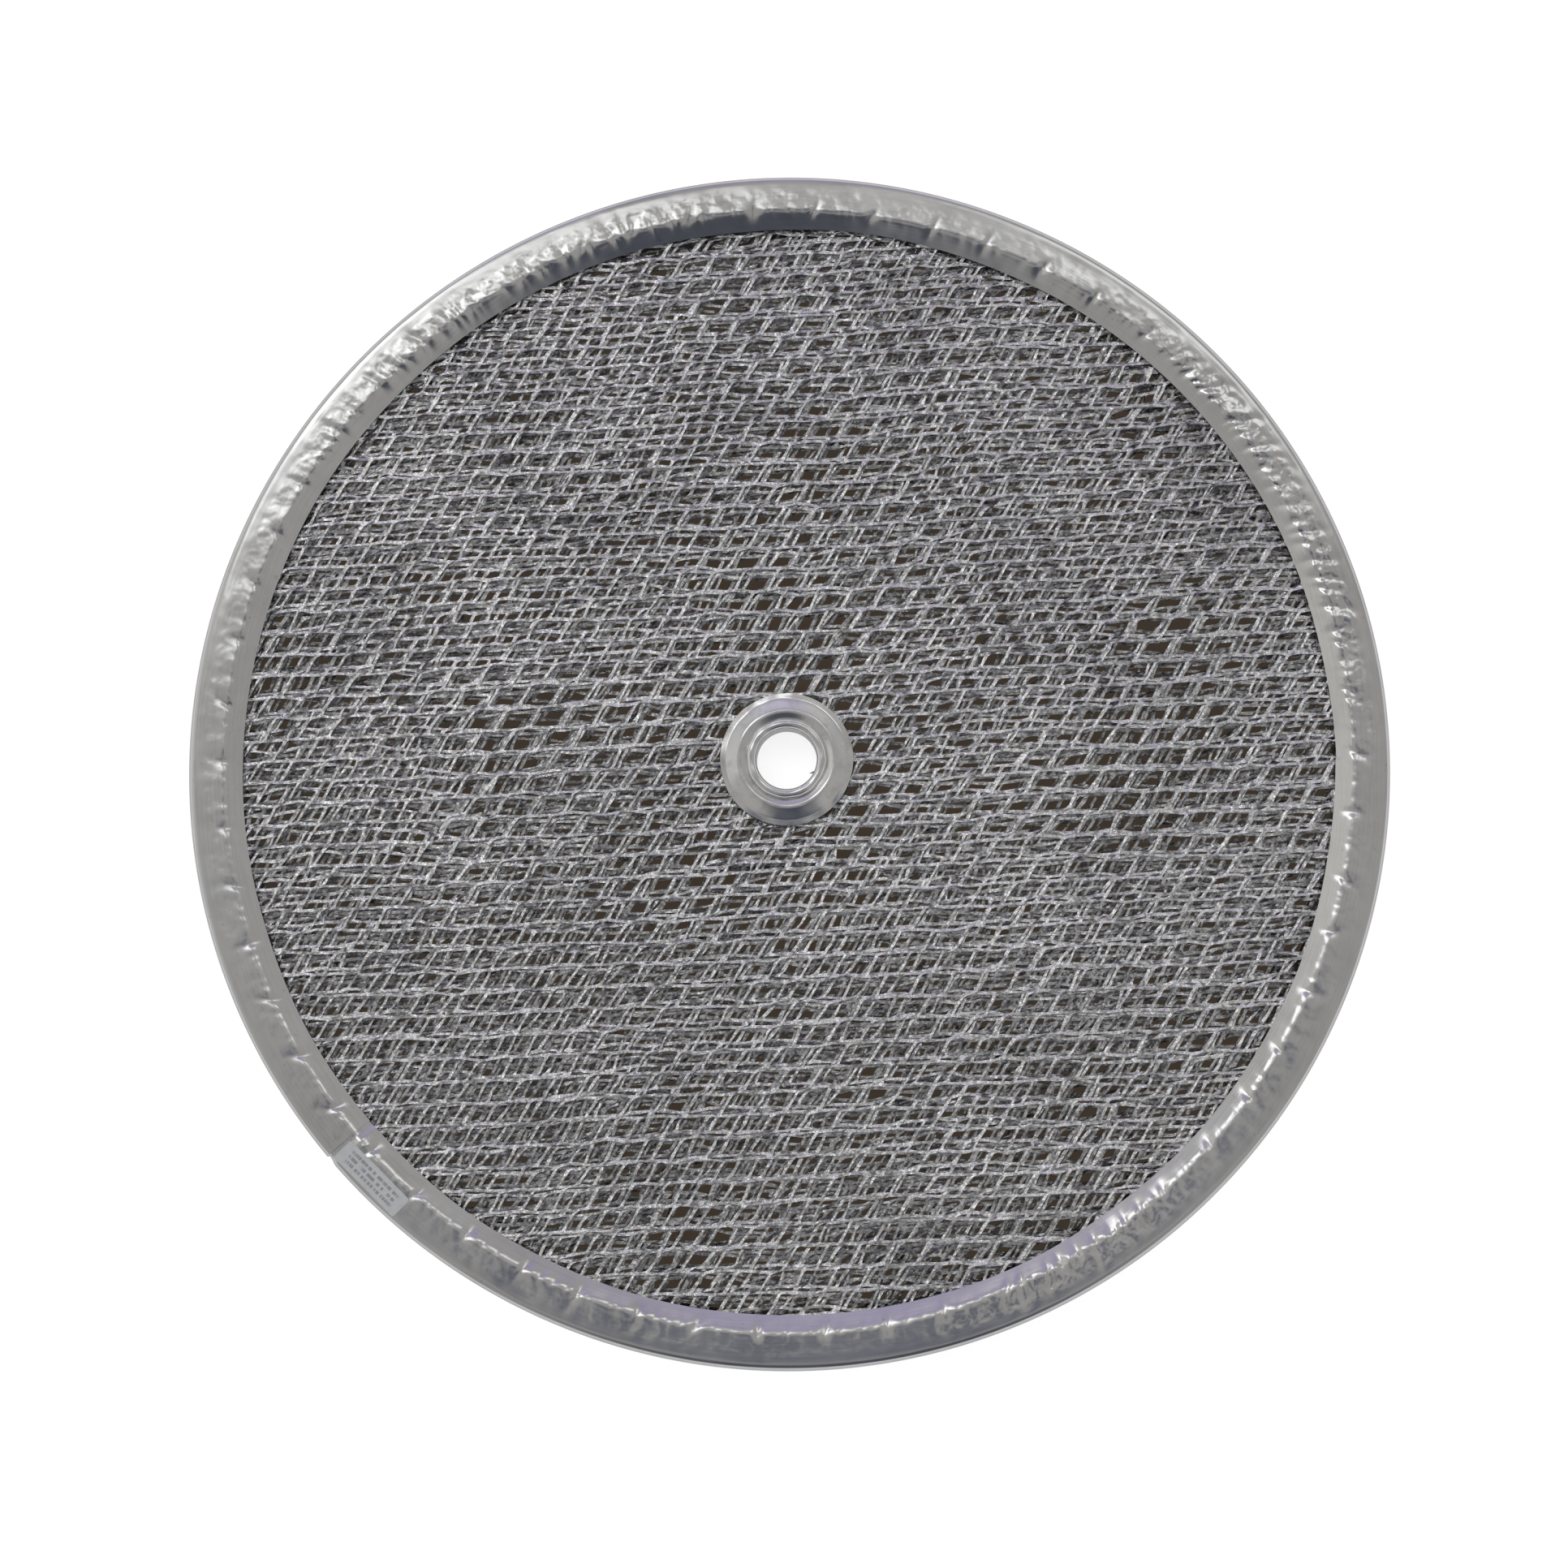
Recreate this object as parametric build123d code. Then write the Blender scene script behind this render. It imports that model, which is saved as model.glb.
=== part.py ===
from build123d import *
import math
import os

# Round aluminium mesh grease filter: a rolled rim channel round nine layers
# of expanded foil, with a grommet through the centre and a label on the rim.
# Origin: centre of the filter on the plane of the rim's rear face.
# +Z points out of the front face, the one that carries the label.
# Lengths are in millimetres, angles in degrees counter-clockwise from +X.

# ---------------------------------------------------------------- dimensions
RIM_RADIUS = 266.7 / 2
RIM_DEPTH = 9.5             # rear face to front face
RIM_STRIP_T = 0.4
RIM_CORNER_BEND = 1.6       # outside radius of the two rolled corners
RIM_CREASE_RADIUS = 125.0   # where each flat lip turns in to the media
RIM_CREASE_BEND = 2.0       # outside bend radius of that crease
RIM_INNER_RADIUS = 121.5    # free inner edge of each lip
RIM_LIP_DROP = 2.3          # depth of the inner edge below the lip's flat face

# Splice in the rim: angles along the ring, then lengths across it.
SPLICE_ANGLE = 221.0        # where the strip's outer end stops
SPLICE_STEP = 1.0           # angle of the dip beside the outer end
SPLICE_LAP = 5.0            # angle of the inner end tucked underneath
SPLICE_BRIDGE = 0.6         # angle over which the tucked end rejoins the ring
SPLICE_SETBACK = 0.05       # angle from the ring's start to the bridge's start
SPLICE_CLEAR = 0.15         # gap between the two thicknesses
SPLICE_INNER_RADIUS = 122.9  # the tucked end is trimmed short of the media

LAYER_PITCH = 0.45          # spacing of the layers
LAYER_T = 0.25              # flattened thickness of one layer
LAYER_RADIUS = 131.0        # cut radius, hidden inside the rim
LAYER_BORE_RADIUS = 7.5     # clearance hole round the grommet barrel
OPENINGS_MAX_RADIUS = LAYER_RADIUS - 1.0  # solid margin at the cut edge
OPENINGS_MIN_RADIUS = 10.0  # solid margin round the bore

# Diamond meshes: pitch along the long and short way of the openings, bond
# length at each knuckle, and strand width.
MESH_ANGLE = 22.7           # direction of the long way
SCREEN_MESH = dict(long_way=13.8, short_way=5.2, bond=3.4, strand=0.75)
MEDIA_MESH = dict(long_way=26.6, short_way=13.4, bond=6.2, strand=1.9)

# Layers from rear to front: name, mesh, turn from MESH_ANGLE, shift along the
# long way, shift along the short way.
LAYERS = [
    ("rear_screen", SCREEN_MESH, 0.0, 4.1, 1.9),
    ("media_layer_1", MEDIA_MESH, -1.6, 3.1, 1.7),
    ("media_layer_2", MEDIA_MESH, 0.9, 8.7, 5.2),
    ("media_layer_3", MEDIA_MESH, -0.7, 14.9, 9.6),
    ("media_layer_4", MEDIA_MESH, 1.8, 19.3, 2.9),
    ("media_layer_5", MEDIA_MESH, -2.1, 6.2, 11.4),
    ("media_layer_6", MEDIA_MESH, 0.4, 23.1, 7.3),
    ("media_layer_7", MEDIA_MESH, 1.3, 11.8, 12.5),
    ("front_screen", SCREEN_MESH, 0.0, 0.0, 0.0),
]

GROMMET_RADIUS = 14.8       # outer edge of the barrel and washer flanges

BARREL_T = 0.5
BARREL_BORE_RADIUS = 6.7
BARREL_EDGE_Z = 2.25        # outer edge of the domed rear flange
BARREL_DOME_Z = 1.0         # rearmost face of the flange
BARREL_DOME_RADIUS = 12.6   # where the flange starts to slope to its edge
BARREL_DOME_BEND = 2.5
BARREL_ROOT_BEND = 2.2      # from the flange into the bore
BARREL_TOP_Z = 9.35         # crown of the rolled front lip
BARREL_ROLL_RADIUS = 8.9    # outside of the rolled lip
BARREL_ROLL_END_Z = 8.32
BARREL_ROLL_BENDS = [1.1, 0.95]  # inner and outer bend of the rolled lip

WASHER_T = 0.4
WASHER_HOLE_RADIUS = 7.35
WASHER_SEAT_RADIUS = 9.25   # inner foot of the raised bead
WASHER_SEAT_Z = 8.25        # seat under the rolled lip
WASHER_SEAT_BEND = 0.5
WASHER_CREST_RADII = [10.45, 11.45]  # inner and outer edge of the bead's crest
WASHER_CREST_Z = 9.2
WASHER_CREST_BEND = 0.8
WASHER_FOOT_RADIUS = 12.65  # outer foot of the bead
WASHER_FLANGE_Z = 7.15      # front face of the thin flange
WASHER_FOOT_BEND = 0.6

LABEL_LENGTH = 18.4         # along the rim
LABEL_WIDTH = 5.2           # across the rim
LABEL_T = 0.1
LABEL_CORNER_RADIUS = 0.4
LABEL_RADIUS = 129.2        # radius of the label's centre
LABEL_ANGLE = 225.5


# --------------------------------------------------------------- bent strip
def offset_path(points, bends, offset):
    """Edges and two end points of a filleted (radius, z) polyline, moved to
    its right-hand side by offset. bends holds one radius per inner point,
    measured on the unmoved line."""
    points = [Vector(radius, 0, z) for radius, z in points]
    directions = [(b - a).normalized() for a, b in zip(points, points[1:])]
    normals = [Vector(d.Z, 0, -d.X) for d in directions]
    # Each point moves along the mitre of the normals on its two sides.
    moved = []
    for point, before, after in zip(points, normals[:1] + normals,
                                    normals + normals[-1:]):
        moved.append(point + (before + after) * (offset / (1 + before.dot(after))))

    edges = []
    start = moved[0]
    for corner, bend, before, after in zip(moved[1:-1], bends,
                                           directions, directions[1:]):
        cross = before.X * after.Z - before.Z * after.X
        # The right-hand side is the outside of a left turn.
        radius = bend + (offset if cross > 0 else -offset)
        turn = math.atan2(abs(cross), before.dot(after))
        tangent = radius * math.tan(turn / 2)
        arc_start = corner - before * tangent
        arc_end = corner + after * tangent
        inward = (after - before).normalized()
        arc_mid = corner + inward * (radius / math.cos(turn / 2) - radius)
        edges.append(Edge.make_line(start, arc_start))
        edges.append(Edge.make_three_point_arc(arc_start, arc_mid, arc_end))
        start = arc_end
    edges.append(Edge.make_line(start, moved[-1]))
    return edges, moved[0], moved[-1]


def strip_ring(points, bends, near, far, start=0.0, sweep=360.0):
    """Bent strip between two offsets of one filleted line, revolved about Z
    through sweep degrees from start."""
    near_edges, near_start, near_end = offset_path(points, bends, near)
    far_edges, far_start, far_end = offset_path(points, bends, far)
    caps = [Edge.make_line(near_start, far_start),
            Edge.make_line(near_end, far_end)]
    section = Face(Wire(near_edges + far_edges + caps))
    return Solid.revolve(section, sweep, Axis.Z).rotate(Axis.Z, start)


# ----------------------------------------------------------------------- rim
def rim_profile(inner_radius):
    """Outer surface of the channel from the front lip's inner edge round to
    the rear lip's, both cut at inner_radius along the lip's slope."""
    slope = RIM_LIP_DROP / (RIM_CREASE_RADIUS - RIM_INNER_RADIUS)
    drop = slope * (RIM_CREASE_RADIUS - inner_radius)
    return [
        (inner_radius, RIM_DEPTH - drop),
        (RIM_CREASE_RADIUS, RIM_DEPTH),
        (RIM_RADIUS, RIM_DEPTH),
        (RIM_RADIUS, 0.0),
        (RIM_CREASE_RADIUS, 0.0),
        (inner_radius, drop),
    ]


def make_rim_channel():
    bends = [RIM_CREASE_BEND, RIM_CORNER_BEND, RIM_CORNER_BEND, RIM_CREASE_BEND]
    ring_start = SPLICE_ANGLE + SPLICE_STEP
    ring = strip_ring(rim_profile(RIM_INNER_RADIUS), bends, 0.0, RIM_STRIP_T,
                      ring_start, 360.0 - SPLICE_STEP)

    # The tucked end lies inside the channel, one clearance below the strip.
    tuck_profile = rim_profile(SPLICE_INNER_RADIUS)
    tuck_near = RIM_STRIP_T + SPLICE_CLEAR
    tuck_far = tuck_near + RIM_STRIP_T
    tuck = strip_ring(tuck_profile, bends, tuck_near, tuck_far,
                      SPLICE_ANGLE - SPLICE_LAP,
                      SPLICE_LAP + SPLICE_STEP + SPLICE_BRIDGE)

    # The bridge fills the clearance and overlaps both ring and tucked end.
    bridge = strip_ring(tuck_profile, bends, RIM_STRIP_T / 2, tuck_far,
                        ring_start + SPLICE_SETBACK,
                        SPLICE_BRIDGE - SPLICE_SETBACK)
    return ring.fuse(tuck, bridge)


# -------------------------------------------------------------- mesh layers
def opening_corners(long_way, short_way, bond, strand):
    """Corners of one hexagonal opening centred on the origin, long way on X."""
    run, rise = long_way / 2 - bond, short_way / 2
    length = math.hypot(run, rise)
    # Unit normal of a slanted side, and that side's distance from the centre.
    normal_x, normal_y = rise / length, run / length
    side_distance = normal_x * (long_way - bond) / 2 - strand / 2
    top = short_way / 2 - strand / 2
    half_flat = (side_distance - normal_y * top) / normal_x
    tip = side_distance / normal_x
    return [(tip, 0), (half_flat, top), (-half_flat, top),
            (-tip, 0), (-half_flat, -top), (half_flat, -top)]


def make_layer(mid_z, mesh, angle, shift_long, shift_short):
    """A round disc of foil with every whole opening of the mesh cut through."""
    long_way, short_way = mesh["long_way"], mesh["short_way"]
    corners = opening_corners(**mesh)
    cos_a, sin_a = math.cos(math.radians(angle)), math.sin(math.radians(angle))
    reach_i = int(2 * (LAYER_RADIUS + long_way) / long_way) + 2
    reach_j = int(2 * (LAYER_RADIUS + short_way) / short_way) + 2

    holes = [Wire([Edge.make_circle(LAYER_BORE_RADIUS)])]
    for i in range(-reach_i, reach_i + 1):
        for j in range(-reach_j, reach_j + 1):
            # Neighbouring columns are staggered by half the short way.
            if (i + j) % 2:
                continue
            centre_x = i * long_way / 2 + shift_long
            centre_y = j * short_way / 2 + shift_short
            opening = []
            for x, y in corners:
                x, y = centre_x + x, centre_y + y
                opening.append((x * cos_a - y * sin_a, x * sin_a + y * cos_a))
            radii = [math.hypot(x, y) for x, y in opening]
            if max(radii) < OPENINGS_MAX_RADIUS and min(radii) > OPENINGS_MIN_RADIUS:
                holes.append(Wire.make_polygon(
                    [Vector(x, y, 0) for x, y in opening], close=True))

    face = Face(Wire([Edge.make_circle(LAYER_RADIUS)]), holes)
    disc = Solid.extrude(face, Vector(0, 0, LAYER_T))
    return disc.translate(Vector(0, 0, mid_z - LAYER_T / 2))


def make_layers():
    """All layers by name, stacked evenly about the middle of the rim's depth."""
    middle = (len(LAYERS) - 1) / 2
    layers = {}
    for n, (name, mesh, turn, shift_long, shift_short) in enumerate(LAYERS):
        mid_z = RIM_DEPTH / 2 + (n - middle) * LAYER_PITCH
        layers[name] = make_layer(mid_z, mesh, MESH_ANGLE + turn,
                                  shift_long, shift_short)
    return layers


# ------------------------------------------------------------------- grommet
def make_grommet_barrel():
    """Domed rear flange, straight bore, front lip rolled over the washer."""
    # Rear face of the flange, then the bore wall, then the outside of the lip.
    profile = [
        (GROMMET_RADIUS, BARREL_EDGE_Z),
        (BARREL_DOME_RADIUS, BARREL_DOME_Z),
        (BARREL_BORE_RADIUS, BARREL_DOME_Z),
        (BARREL_BORE_RADIUS, BARREL_TOP_Z),
        (BARREL_ROLL_RADIUS, BARREL_TOP_Z),
        (BARREL_ROLL_RADIUS, BARREL_ROLL_END_Z),
    ]
    bends = [BARREL_DOME_BEND, BARREL_ROOT_BEND] + BARREL_ROLL_BENDS
    return strip_ring(profile, bends, 0.0, BARREL_T)


def make_grommet_washer():
    """Seat under the rolled lip, raised bead, thin flange over the screen."""
    crest_inner, crest_outer = WASHER_CREST_RADII
    # Front face, from the hole outward.
    profile = [
        (WASHER_HOLE_RADIUS, WASHER_SEAT_Z),
        (WASHER_SEAT_RADIUS, WASHER_SEAT_Z),
        (crest_inner, WASHER_CREST_Z),
        (crest_outer, WASHER_CREST_Z),
        (WASHER_FOOT_RADIUS, WASHER_FLANGE_Z),
        (GROMMET_RADIUS, WASHER_FLANGE_Z),
    ]
    bends = [WASHER_SEAT_BEND, WASHER_CREST_BEND, WASHER_CREST_BEND,
             WASHER_FOOT_BEND]
    return strip_ring(profile, bends, 0.0, WASHER_T)


# --------------------------------------------------------------------- label
def make_label():
    """Thin rounded rectangle on the rim's front face, long side tangential."""
    outline = RectangleRounded(LABEL_WIDTH, LABEL_LENGTH, LABEL_CORNER_RADIUS)
    label = Solid.extrude(outline.face(), Vector(0, 0, LABEL_T))
    label = label.translate(Vector(LABEL_RADIUS, 0, RIM_DEPTH))
    return label.rotate(Axis.Z, LABEL_ANGLE)


# -------------------------------------------------------------------- export
parts = {
    "rim_channel": make_rim_channel(),
    "grommet_barrel": make_grommet_barrel(),
    "grommet_washer": make_grommet_washer(),
    "label": make_label(),
    **make_layers(),
}

os.makedirs("parts", exist_ok=True)
for name, shape in parts.items():
    export_step(shape, os.path.join("parts", name + ".step"), write_pcurves=False)
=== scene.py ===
"""A round filter pad: nine discs of expanded foil held in a folded rim strip,
with a two-part grommet in the middle and a paper label on the rim.

The pad lies flat, centred on the Z axis. Its front face looks up along +Z and
its rear face rests on the floor. Mesh sizes are in millimetres and angles in
degrees from +X; shaders, lights and the camera are in metres.
"""
import math

import bpy
import numpy as np
from mathutils import Matrix, Vector


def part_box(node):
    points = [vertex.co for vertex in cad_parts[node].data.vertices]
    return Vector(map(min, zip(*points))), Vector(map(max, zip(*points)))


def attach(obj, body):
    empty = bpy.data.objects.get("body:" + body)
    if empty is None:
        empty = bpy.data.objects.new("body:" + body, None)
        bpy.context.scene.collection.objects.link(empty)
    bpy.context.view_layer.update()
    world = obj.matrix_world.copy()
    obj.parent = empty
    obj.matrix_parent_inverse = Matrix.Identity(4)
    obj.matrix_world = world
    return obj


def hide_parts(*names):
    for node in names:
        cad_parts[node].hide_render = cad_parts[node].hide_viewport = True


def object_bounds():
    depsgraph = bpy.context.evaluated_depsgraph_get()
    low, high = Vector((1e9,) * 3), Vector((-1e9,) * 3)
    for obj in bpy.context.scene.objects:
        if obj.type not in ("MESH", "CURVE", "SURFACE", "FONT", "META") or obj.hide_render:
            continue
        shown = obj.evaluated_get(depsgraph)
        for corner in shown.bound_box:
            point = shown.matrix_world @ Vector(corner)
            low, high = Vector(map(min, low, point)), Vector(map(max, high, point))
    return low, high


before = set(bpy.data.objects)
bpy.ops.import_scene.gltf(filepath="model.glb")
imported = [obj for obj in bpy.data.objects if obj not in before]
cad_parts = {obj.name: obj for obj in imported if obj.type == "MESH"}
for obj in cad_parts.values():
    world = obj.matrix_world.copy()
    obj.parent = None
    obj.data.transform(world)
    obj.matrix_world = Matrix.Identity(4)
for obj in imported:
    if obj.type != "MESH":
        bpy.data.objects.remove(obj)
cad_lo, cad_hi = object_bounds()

MM = 0.001
TAU = 2 * math.pi


# --------------------------------------------------------------- dimensions
def box_mm(name):
    """Lowest and highest corner of a CAD piece."""
    lo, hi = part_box(name)
    return np.array(lo) / MM, np.array(hi) / MM


rim_lo, rim_hi = box_mm("rim_channel")
screen_lo, screen_hi = box_mm("front_screen")

RIM_R = (rim_hi[0] - rim_lo[0]) / 2
RIM_CREASE = 125.0      # radius where the flat lip folds down into the slope
RIM_INNER = 121.5       # radius of the strip's free edge
RIM_DROP = 2.3          # height lost from the crease to the free edge
RIM_SLOPE = math.atan2(RIM_DROP, RIM_CREASE - RIM_INNER)
RIM_SHOULDER = 1.6      # bend between the lip and the outer wall
RIM_THICK = 0.4
CREASE_LENGTH = TAU * RIM_CREASE

LAYER_R = (screen_hi[0] - screen_lo[0]) / 2
LAYER_BORE = 7.5        # radius
FOIL_THICK = 0.11

LABEL_MID = 129.2       # radius of the label's middle line
LABEL_TURN = 225.5


# ------------------------------------------------------------- mesh helpers
def smoothstep(x):
    x = np.clip(x, 0.0, 1.0)
    return x * x * (3 - 2 * x)


class Waves:
    """Smooth repeatable noise over the plane: a sum of sines, about -1 to 1."""

    def __init__(self, seed, shortest, longest, count=9):
        rng = np.random.default_rng(seed)
        length = np.exp(rng.uniform(math.log(shortest), math.log(longest), count))
        turn = rng.uniform(0, TAU, count)
        self.rate_x = np.cos(turn) * TAU / length
        self.rate_y = np.sin(turn) * TAU / length
        self.phase = rng.uniform(0, TAU, count)

    def __call__(self, x, y):
        total = np.zeros(np.broadcast(x, y).shape)
        for rate_x, rate_y, phase in zip(self.rate_x, self.rate_y, self.phase):
            total = total + np.sin(rate_x * x + rate_y * y + phase)
        return total / math.sqrt(len(self.phase)) * 0.9


def make_mesh(name, verts, faces, smooth_angle):
    """One smooth-shaded object; edges sharper than smooth_angle stay sharp."""
    mesh = bpy.data.meshes.new(name)
    mesh.from_pydata((np.asarray(verts, float) * MM).tolist(), [],
                     [tuple(map(int, face)) for face in faces])
    mesh.validate()
    mesh.update()
    mesh.shade_smooth()
    mesh.set_sharp_from_angle(angle=math.radians(smooth_angle))
    obj = bpy.data.objects.new(name, mesh)
    bpy.context.scene.collection.objects.link(obj)
    return obj


def thicken(quads, tris, count):
    """All faces of a closed sheet, from those of its upper side. The lower
    vertices follow the count upper ones in the same order."""
    edges = {}
    for face in quads + tris:
        for p, q in zip(face, face[1:] + face[:1]):
            if edges.pop((q, p), None) is None:
                edges[(p, q)] = True
    walls = [(q, p, p + count, q + count) for p, q in edges]

    def lower(faces):
        return [tuple(p + count for p in reversed(face)) for face in faces]

    return quads + lower(quads) + walls + tris + lower(tris)


def planar_uv(obj, half):
    """A flat top-view map, so that colour and roughness bake across a layer."""
    uv = obj.data.uv_layers.new(name="OFBake")
    places = np.zeros(len(obj.data.vertices) * 3)
    obj.data.vertices.foreach_get("co", places)
    corners = np.zeros(len(obj.data.loops), np.int32)
    obj.data.loops.foreach_get("vertex_index", corners)
    flat = places.reshape(-1, 3)[corners][:, :2] / (2 * half) + 0.5
    uv.data.foreach_set("uv", flat.astype(np.float32).ravel())


def outline(points, bends, steps, depth=0.0):
    """Samples of a filleted line in the radius-height plane.

    bends are the fillet radii at the inner points, and steps the sample counts
    of each line and arc in turn. The samples move depth to the line's right.
    Returns radius, height, left-hand normal and distance along the line."""
    headings = []
    for (r0, z0), (r1, z1) in zip(points, points[1:]):
        length = math.hypot(r1 - r0, z1 - z0)
        headings.append(((r1 - r0) / length, (z1 - z0) / length))
    spans = []  # start, end, heading at the start, arc centre, arc turn
    start = points[0]
    for (r, z), bend, before, after in zip(points[1:], bends, headings,
                                           headings[1:]):
        cross = before[0] * after[1] - before[1] * after[0]
        turn = math.atan2(abs(cross), before[0] * after[0] + before[1] * after[1])
        tangent = bend * math.tan(turn / 2)
        enter = (r - before[0] * tangent, z - before[1] * tangent)
        leave = (r + after[0] * tangent, z + after[1] * tangent)
        side = 1 if cross > 0 else -1
        centre = (enter[0] - side * before[1] * bend,
                  enter[1] + side * before[0] * bend)
        spans.append((start, enter, before, None, 0))
        spans.append((enter, leave, before, centre, side * turn))
        start = leave
    spans.append((start, points[-1], headings[-1], None, 0))
    samples = []
    for (start, end, (head_r, head_z), centre, turn), count in zip(spans, steps):
        for k in range(count):
            t = k / count
            if centre is None:
                samples.append((start[0] + (end[0] - start[0]) * t,
                                start[1] + (end[1] - start[1]) * t,
                                -head_z, head_r))
            else:
                cos, sin = math.cos(turn * t), math.sin(turn * t)
                arm_r, arm_z = start[0] - centre[0], start[1] - centre[1]
                samples.append((centre[0] + arm_r * cos - arm_z * sin,
                                centre[1] + arm_r * sin + arm_z * cos,
                                -(head_r * sin + head_z * cos),
                                head_r * cos - head_z * sin))
    head_r, head_z = headings[-1]
    samples.append((*points[-1], -head_z, head_r))
    r, z, normal_r, normal_z = np.array(samples).T
    along = np.concatenate([[0], np.cumsum(np.hypot(np.diff(r), np.diff(z)))])
    return r - normal_r * depth, z - normal_z * depth, normal_r, normal_z, along


def install(piece, material, target):
    """Dress a piece and put it in the place of a CAD piece."""
    piece.data.materials.append(material)
    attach(piece, "root")
    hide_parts(target)


# ----------------------------------------------------------- shader helpers
def plug(nt, made, sockets):
    """Feed inputs, given by name or number, from an output or a plain value."""
    for key, value in sockets.items():
        if isinstance(value, bpy.types.NodeSocket):
            nt.links.new(value, made.inputs[key])
        else:
            made.inputs[key].default_value = value


def node(nt, kind, sockets=None, **settings):
    made = nt.nodes.new("ShaderNode" + kind)
    for key, value in settings.items():
        setattr(made, key, value)
    plug(nt, made, sockets or {})
    return made


def new_material(name):
    material = bpy.data.materials.new(name)
    material.use_nodes = True
    nt = material.node_tree
    nt.nodes.clear()
    out = node(nt, "OutputMaterial")
    bsdf = node(nt, "BsdfPrincipled")
    nt.links.new(bsdf.outputs[0], out.inputs[0])
    return material, nt, bsdf


def calc(nt, operation, *values):
    made = node(nt, "Math", dict(enumerate(values)), operation=operation)
    return made.outputs[0]


def vector_calc(nt, operation, *values):
    """A vector operation whose result is a single number."""
    made = node(nt, "VectorMath", dict(enumerate(values)), operation=operation)
    return made.outputs["Value"]


def position(nt):
    return node(nt, "NewGeometry").outputs["Position"]


def split_plan(nt, pos):
    """X, Y and Z of a position, its flattened vector and the length of that."""
    parts = node(nt, "SeparateXYZ", {0: pos}).outputs
    flat = node(nt, "CombineXYZ", {0: parts[0], 1: parts[1]}).outputs[0]
    return parts, flat, vector_calc(nt, "LENGTH", flat)


def noise(nt, coords, scale, detail=4.0, rough=0.55):
    return node(nt, "TexNoise", {"Scale": scale, "Detail": detail,
                                 "Roughness": rough,
                                 "Vector": coords}).outputs["Fac"]


def grey(level):
    return (level, level, level)


def ramp(nt, fac, *stops):
    """A colour ramp from (position, colour) stops."""
    made = node(nt, "ValToRGB", {0: fac})
    elements = made.color_ramp.elements
    while len(elements) < len(stops):
        elements.new(0.5)
    for element, (place, colour) in zip(elements, stops):
        element.position = place
        element.color = (*colour, 1)
    return made.outputs[0]


def to_range(nt, value, low, high, from_min=0.3, from_max=0.7, **settings):
    return node(nt, "MapRange", {"From Min": from_min, "From Max": from_max,
                                 "To Min": low, "To Max": high,
                                 "Value": value}, **settings).outputs[0]


def smooth_range(nt, value, low, high, from_min, from_max):
    return to_range(nt, value, low, high, from_min, from_max,
                    interpolation_type="SMOOTHSTEP")


def mix_colour(nt, fac, first, second, blend_type="MIX"):
    first, second = ((*colour, 1) if isinstance(colour, tuple) else colour
                     for colour in (first, second))
    return node(nt, "Mix", {0: fac, 6: first, 7: second}, data_type="RGBA",
                blend_type=blend_type).outputs[2]


def multiply(nt, product, *others):
    for other in others:
        product = mix_colour(nt, 1.0, product, other, "MULTIPLY")
    return product


def bump(nt, height, strength, distance, **more):
    return node(nt, "Bump", {"Strength": strength, "Distance": distance,
                             "Height": height, **more}).outputs[0]


# ------------------------------------------------------------ expanded foil
HOLE_RING = 14       # points round one opening
STEP_ANGLE = 57.0    # between the straight strands and the stepping ones
SIDE_POINTS = (0.30, 0.70)  # places of the two points inside each long side
SIDE_BOW = 0.05

pack_noise = Waves(4101, 40, 120, 7)


def opening_ring(lwd, swd, knuckle):
    """The points round one opening, as offsets from its centre."""
    pitch = math.hypot(lwd, swd) / 2
    row = lwd * swd / 2 / pitch
    turn = math.radians(STEP_ANGLE)
    straight = np.array([lwd, -swd]) / 2 / pitch
    stepping = np.array([
        straight[0] * math.cos(turn) - straight[1] * math.sin(turn),
        straight[0] * math.sin(turn) + straight[1] * math.cos(turn)])
    half_straight = (pitch - knuckle / math.sin(turn)) / 2
    half_step = (row - knuckle) / 2 / math.sin(turn)

    def corner(along, across):
        return tuple(along * straight + across * stepping)

    tip = corner(half_straight - 0.08, half_step - 0.08)
    right = corner(0.55 - half_straight, half_step)
    left = corner(-half_straight, half_step - 0.30)
    far = (-tip[0], -tip[1])

    def side(p, q):
        dx, dy = q[0] - p[0], q[1] - p[1]
        length = math.hypot(dx, dy)
        return [(p[0] + dx * t + dy / length * SIDE_BOW,
                 p[1] + dy * t - dx / length * SIDE_BOW) for t in SIDE_POINTS]

    half = [tip] + side(tip, right) + [right, left] + side(left, far)
    return np.array(half + [(-x, -y) for x, y in half])


def opening_dip(lift):
    """Height round the opening: one side up by lift and the other down."""
    near, later = SIDE_POINTS
    half = [0, near, later, 1, 1, later, near]
    return np.sin(np.array(half + [-t for t in half]) * math.pi / 2) * lift


def foil_faces(cells):
    """Upper faces between the rings: the strands, and the bonds at crossings."""
    quads, tris = [], []
    for (i, j), a in cells.items():
        b = cells.get((i + 1, j + 1))
        c = cells.get((i - 1, j + 1))
        d = cells.get((i, j + 2))
        if b is not None:
            for k in range(3):
                quads.append((a + k, b + 10 - k, b + 9 - k, a + k + 1))
        if c is not None:
            for k in range(3):
                quads.append((a + 4 + k, c + (14 - k) % HOLE_RING, c + 13 - k,
                              a + 5 + k))
        if b is not None and c is not None and d is not None:
            tris.append((b + 7, d + 11, a + 3))
            quads.append((a + 3, d + 11, d + 10, a + 4))
            tris.append((c, a + 4, d + 10))
    return quads, tris


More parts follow.
